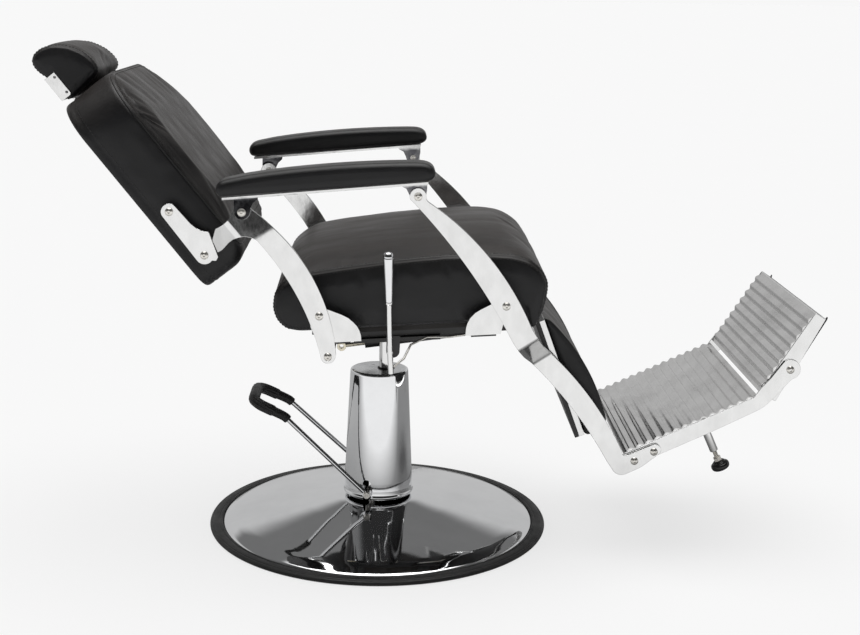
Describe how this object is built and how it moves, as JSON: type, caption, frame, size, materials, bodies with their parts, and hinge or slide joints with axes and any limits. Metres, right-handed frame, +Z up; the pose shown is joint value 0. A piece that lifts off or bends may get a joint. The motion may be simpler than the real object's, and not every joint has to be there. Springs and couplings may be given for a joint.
{
  "type": "hydraulic barber chair",
  "caption": "Reclining hydraulic barber chair with padded seat, back, headrest and armrests, a ribbed footrest and a round pedestal base with a foot pump lever.",
  "frame": {"origin": "on the floor at the axis of the round base", "axes": "+X towards the front of the chair, +Y towards the sitter's left, +Z up"},
  "size_m": [1.431, 0.66, 0.9257],
  "materials": {
    "black_vinyl": "fine-grained matt vinyl",
    "chrome": "mirror chrome",
    "polished_steel": "bright plated steel",
    "ribbed_metal": "polished",
    "black_steel": "satin black",
    "rubber": "satin",
    "zinc_bolt": "nickel plated",
    "plywood": "raw plywood"
  },
  "bodies": {
    "base": {"base_ballast": "black_steel", "base_ring": "rubber", "base_dish": "chrome", "pump_cylinder": "chrome", "column_cover": "chrome", "lever_shaft": "zinc_bolt"},
    "pump_lever": {"pump_lever": "chrome", "pedal_grip": "rubber"},
    "lift": {"piston": "chrome"},
    "seat": {"swivel_plate": "black_steel", "chassis_rail_right": "black_steel", "chassis_rail_left": "black_steel", "front_cross_bar": "black_steel", "rear_cross_bar": "black_steel", "seat_board": "plywood", "seat_cushion": "black_vinyl", "front_bracket_right": "polished_steel", "front_bracket_left": "polished_steel", "rear_bracket_right": "polished_steel", "rear_bracket_left": "polished_steel", "release_hook": "black_steel", "release_head": "zinc_bolt", "rear_pivot_bolt_right": "zinc_bolt", "rear_pivot_bolt_left": "zinc_bolt", "front_pivot_bolt_right": "zinc_bolt", "front_pivot_bolt_left": "zinc_bolt"},
    "release_lever": {"release_rod": "chrome", "release_grip": "chrome"},
    "release_link": {"release_link": "zinc_bolt"},
    "gas_cylinder": {"gas_cylinder": "black_steel"},
    "gas_rod": {"gas_rod": "zinc_bolt"},
    "rear_frame": {"rear_bar_right": "polished_steel", "rear_bar_left": "polished_steel", "rear_cross_tube": "black_steel", "hinge_plate_right": "polished_steel", "hinge_plate_left": "polished_steel", "back_bolt_upper_right": "zinc_bolt", "back_bolt_upper_left": "zinc_bolt", "back_bolt_lower_right": "zinc_bolt", "back_bolt_lower_left": "zinc_bolt", "back_board": "black_vinyl", "back_cushion": "black_vinyl", "arm_pivot_bolt_right": "zinc_bolt", "arm_pivot_bolt_left": "zinc_bolt"},
    "headrest": {"headrest_cushion": "black_vinyl", "headrest_bracket": "chrome"},
    "front_frame": {"front_bar_right": "polished_steel", "front_bar_left": "polished_steel", "calf_board": "black_steel", "calf_tray": "polished_steel", "calf_pad": "black_vinyl", "footplate": "ribbed_metal"},
    "flip_plate": {"flip_plate": "ribbed_metal", "flip_shaft": "zinc_bolt"},
    "stop_foot_right": {"stop_foot_right": "rubber"},
    "stop_foot_left": {"stop_foot_left": "rubber"},
    "armrest_right": {"armrest_rail_right": "polished_steel", "armrest_pad_right": "black_vinyl"},
    "armrest_left": {"armrest_rail_left": "polished_steel", "armrest_pad_left": "black_vinyl"}
  },
  "joints": [
    {"name": "lift_slide", "type": "slide", "parent": "base", "child": "lift", "axis": [0, 0, 1], "range_m": [0, 0.15]},
    {"name": "seat_swivel", "type": "hinge", "parent": "lift", "child": "seat", "pos_m": [0.013, 0, 0.376], "axis": [0, 0, 1], "continuous": true},
    {"name": "recline", "type": "hinge", "parent": "seat", "child": "rear_frame", "pos_m": [-0.103, 0, 0.481], "axis": [0, 1, 0], "range_deg": [0, 25]},
    {"name": "legrest_swing", "type": "hinge", "parent": "seat", "child": "front_frame", "pos_m": [0.219, 0, 0.502], "axis": [0, 1, 0], "range_deg": [0, 24]},
    {"name": "armrest_right_link", "type": "hinge", "parent": "rear_frame", "child": "armrest_right", "pos_m": [-0.234, -0.29, 0.659], "axis": [0, 1, 0], "range_deg": [-27, 0]},
    {"name": "armrest_left_link", "type": "hinge", "parent": "rear_frame", "child": "armrest_left", "pos_m": [-0.234, 0.29, 0.659], "axis": [0, 1, 0], "range_deg": [-27, 0]},
    {"name": "headrest_slide", "type": "slide", "parent": "rear_frame", "child": "headrest", "axis": [-0.6225, 0, 0.7826], "range_m": [0, 0.08]},
    {"name": "flip_plate_hinge", "type": "hinge", "parent": "front_frame", "child": "flip_plate", "pos_m": [0.746, 0, 0.37], "axis": [0, -1, 0], "range_deg": [0, 125]},
    {"name": "stop_foot_right_screw", "type": "slide", "parent": "front_frame", "child": "stop_foot_right", "axis": [0.4226, 0, -0.9063], "range_m": [-0.005, 0.01]},
    {"name": "stop_foot_left_screw", "type": "slide", "parent": "front_frame", "child": "stop_foot_left", "axis": [0.4226, 0, -0.9063], "range_m": [-0.005, 0.01]},
    {"name": "release_lever_hinge", "type": "hinge", "parent": "seat", "child": "release_lever", "pos_m": [0.019, -0.276, 0.414], "axis": [0, -1, 0], "range_deg": [0, 18], "stiffness_Nm_per_rad": 2, "springref_deg": -5.73},
    {"name": "release_link_slide", "type": "slide", "parent": "seat", "child": "release_link", "axis": [1, 0, 0], "range_m": [0, 0.012]},
    {"name": "gas_spring_tilt", "type": "hinge", "parent": "seat", "child": "gas_cylinder", "pos_m": [0.19, 0.05, 0.38], "axis": [0, 1, 0], "range_deg": [-1.2, 1.2]},
    {"name": "gas_spring_stroke", "type": "slide", "parent": "gas_cylinder", "child": "gas_rod", "axis": [-0.9909, 0, -0.1346], "range_m": [0, 0.062]},
    {"name": "pump_lever_hinge", "type": "hinge", "parent": "base", "child": "pump_lever", "pos_m": [-0.022, 0, 0.08], "axis": [0, -1, 0], "range_deg": [0, 22], "stiffness_Nm_per_rad": 12, "springref_deg": -28.65}
  ],
  "couplings": [
    {"joint": "legrest_swing", "follows": "recline", "ratio": 0.931},
    {"joint": "armrest_right_link", "follows": "recline", "ratio": -1.054},
    {"joint": "armrest_left_link", "follows": "recline", "ratio": -1.054},
    {"joint": "gas_spring_tilt", "follows": "recline", "ratio": 0.04},
    {"joint": "gas_spring_stroke", "follows": "recline", "m_per_rad": 0.139},
    {"joint": "release_link_slide", "follows": "release_lever_hinge", "m_per_rad": 0.027}
  ]
}
